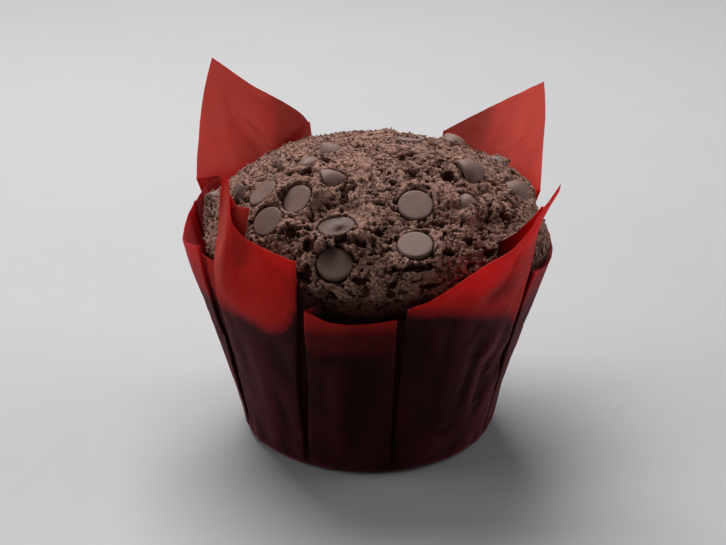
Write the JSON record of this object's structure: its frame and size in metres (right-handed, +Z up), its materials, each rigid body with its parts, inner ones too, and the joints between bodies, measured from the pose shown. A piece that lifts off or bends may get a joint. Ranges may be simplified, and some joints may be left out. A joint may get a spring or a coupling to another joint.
{
  "type": "muffin",
  "caption": "Domed chocolate muffin with chocolate chips set into its crust, standing in a pleated tulip paper case with four raised petals.",
  "frame": {"origin": "middle of the flat underside of the paper case, on the surface that the muffin stands on", "axes": "+Z up, the front of the muffin, with its low front panel between two petals, faces -Y, +X to its right as seen from the front"},
  "size_m": [0.08, 0.0835, 0.0723],
  "materials": {
    "paper": "red baking parchment, thin enough to let light through, darkened by grease where it lies on the cake",
    "cake": "matte dark chocolate crust, porous and crumbly",
    "chocolate": "satin milk-brown chocolate with a faint bloom"
  },
  "bodies": {
    "root": {"paper_wrap": "paper", "muffin_cake": "cake", "chip_01": "chocolate", "chip_02": "chocolate", "chip_03": "chocolate", "chip_04": "chocolate", "chip_05": "chocolate", "chip_06": "chocolate", "chip_07": "chocolate", "chip_08": "chocolate", "chip_09": "chocolate", "chip_10": "chocolate", "chip_11": "chocolate", "chip_12": "chocolate", "chip_13": "chocolate", "chip_14": "chocolate", "chip_15": "chocolate", "chip_16": "chocolate", "chip_17": "chocolate", "chip_18": "chocolate", "chip_19": "chocolate", "chip_20": "chocolate", "chip_21": "chocolate", "chip_22": "chocolate", "chip_23": "chocolate", "chip_24": "chocolate", "chip_25": "chocolate", "chip_26": "chocolate", "chip_27": "chocolate"}
  },
  "joints": []
}
